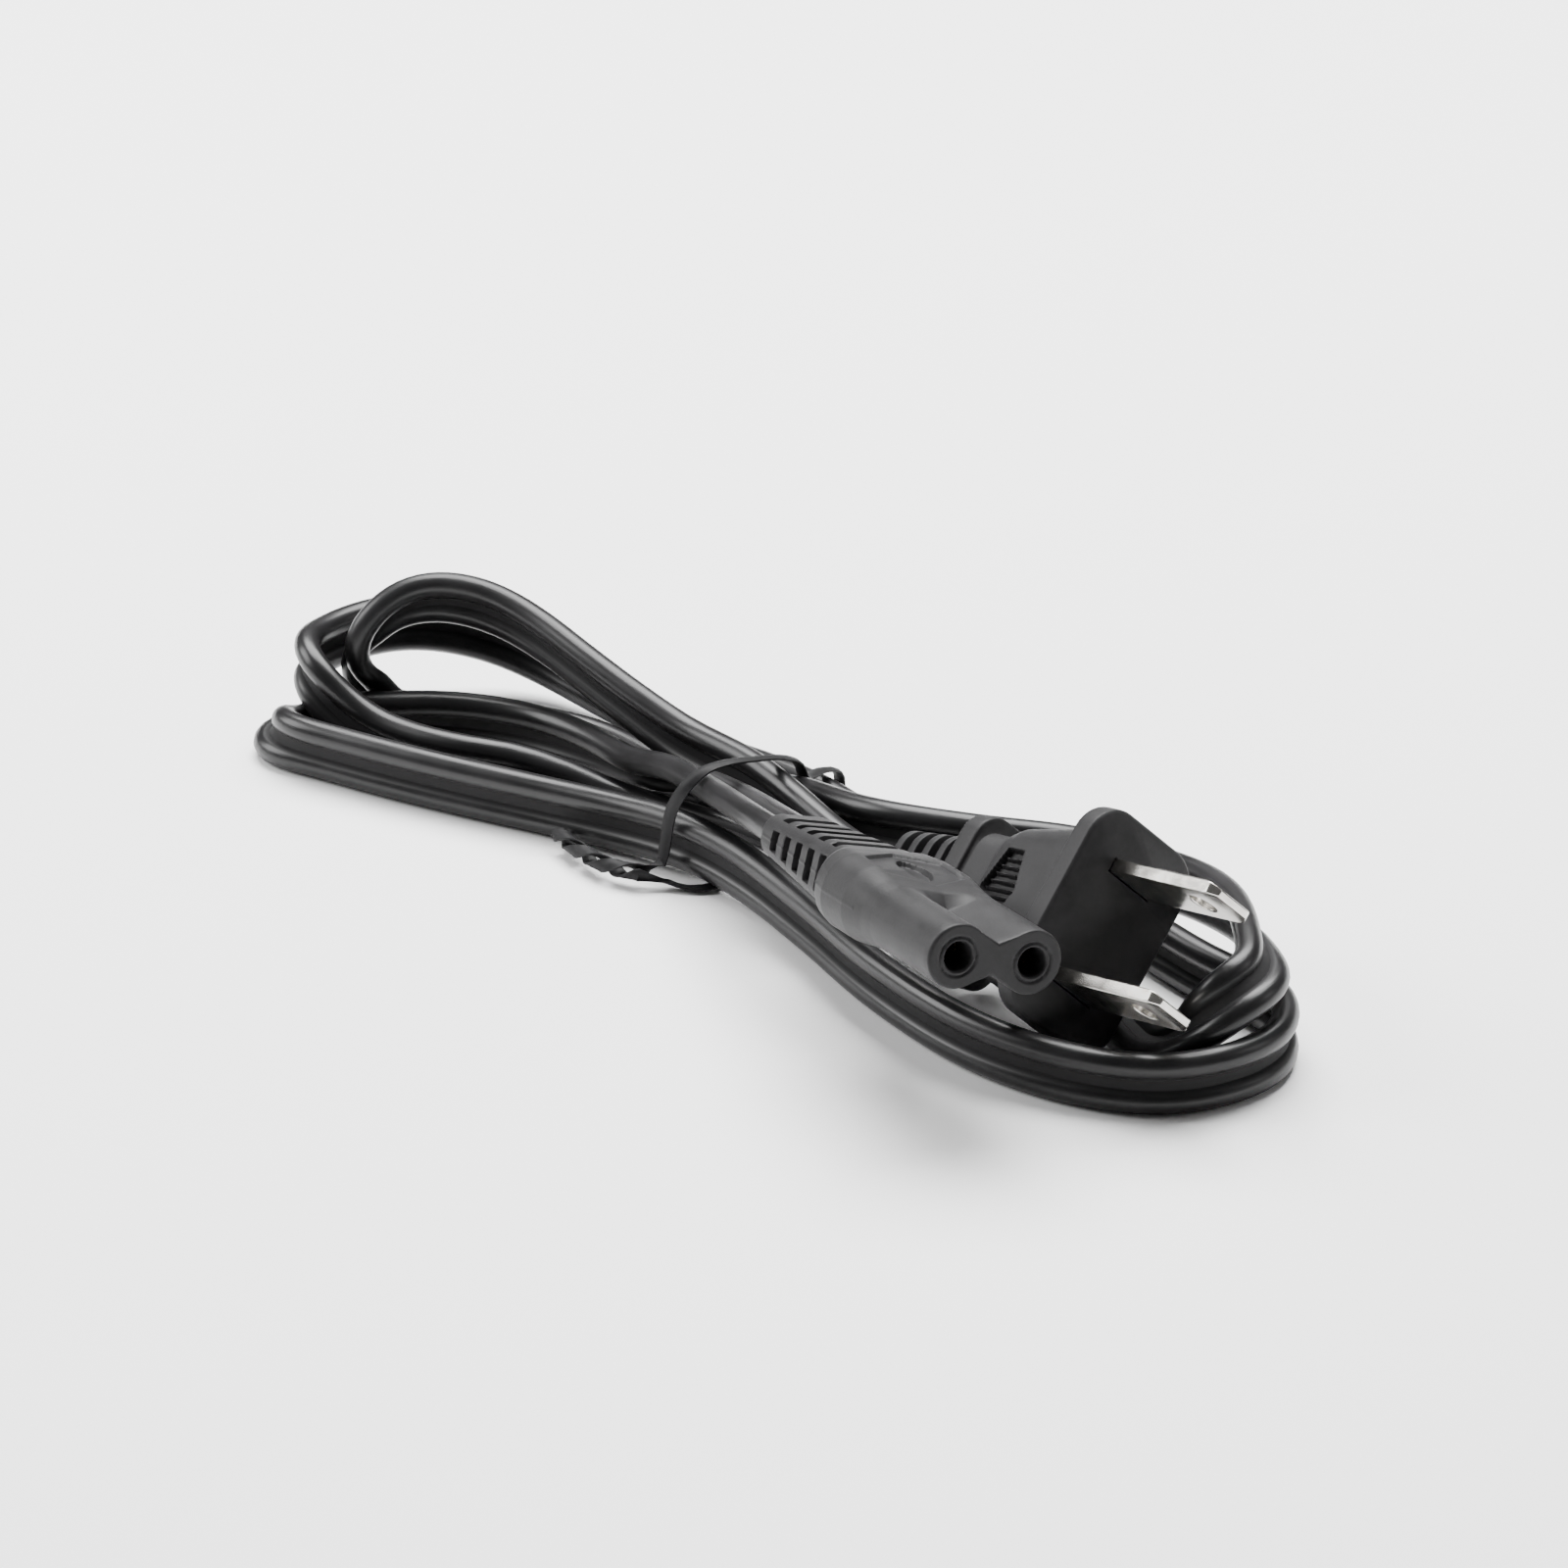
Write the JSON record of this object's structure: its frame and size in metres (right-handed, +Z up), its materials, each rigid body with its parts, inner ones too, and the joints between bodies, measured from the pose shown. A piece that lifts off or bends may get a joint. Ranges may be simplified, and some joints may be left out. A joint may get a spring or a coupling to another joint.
{
  "type": "figure-eight power cord",
  "caption": "Flat black mains cord coiled into a tied hank, with a flat-blade plug at one end and a figure-eight appliance connector at the other.",
  "frame": {"origin": "centre of the hank's footprint on the table", "axes": "+X along the hank towards the plug and connector end, +Y away from the viewer of the picture, +Z up"},
  "size_m": [0.1374, 0.0624, 0.0255],
  "materials": {
    "cord_black": "satin black flexible PVC",
    "moulding_black": "fine-grained matt black PVC moulding",
    "nickel": "bright nickel plate over brass",
    "contact_brass": "plain brass spring sleeve",
    "tie_black": "black plastic-coated wire strip"
  },
  "bodies": {
    "root": {"cord": "cord_black", "plug_body": "moulding_black", "plug_blade_upper": "nickel", "plug_blade_lower": "nickel", "connector_body": "moulding_black", "connector_contact_left": "contact_brass", "connector_contact_right": "contact_brass", "wire_tie": "tie_black"}
  },
  "joints": []
}
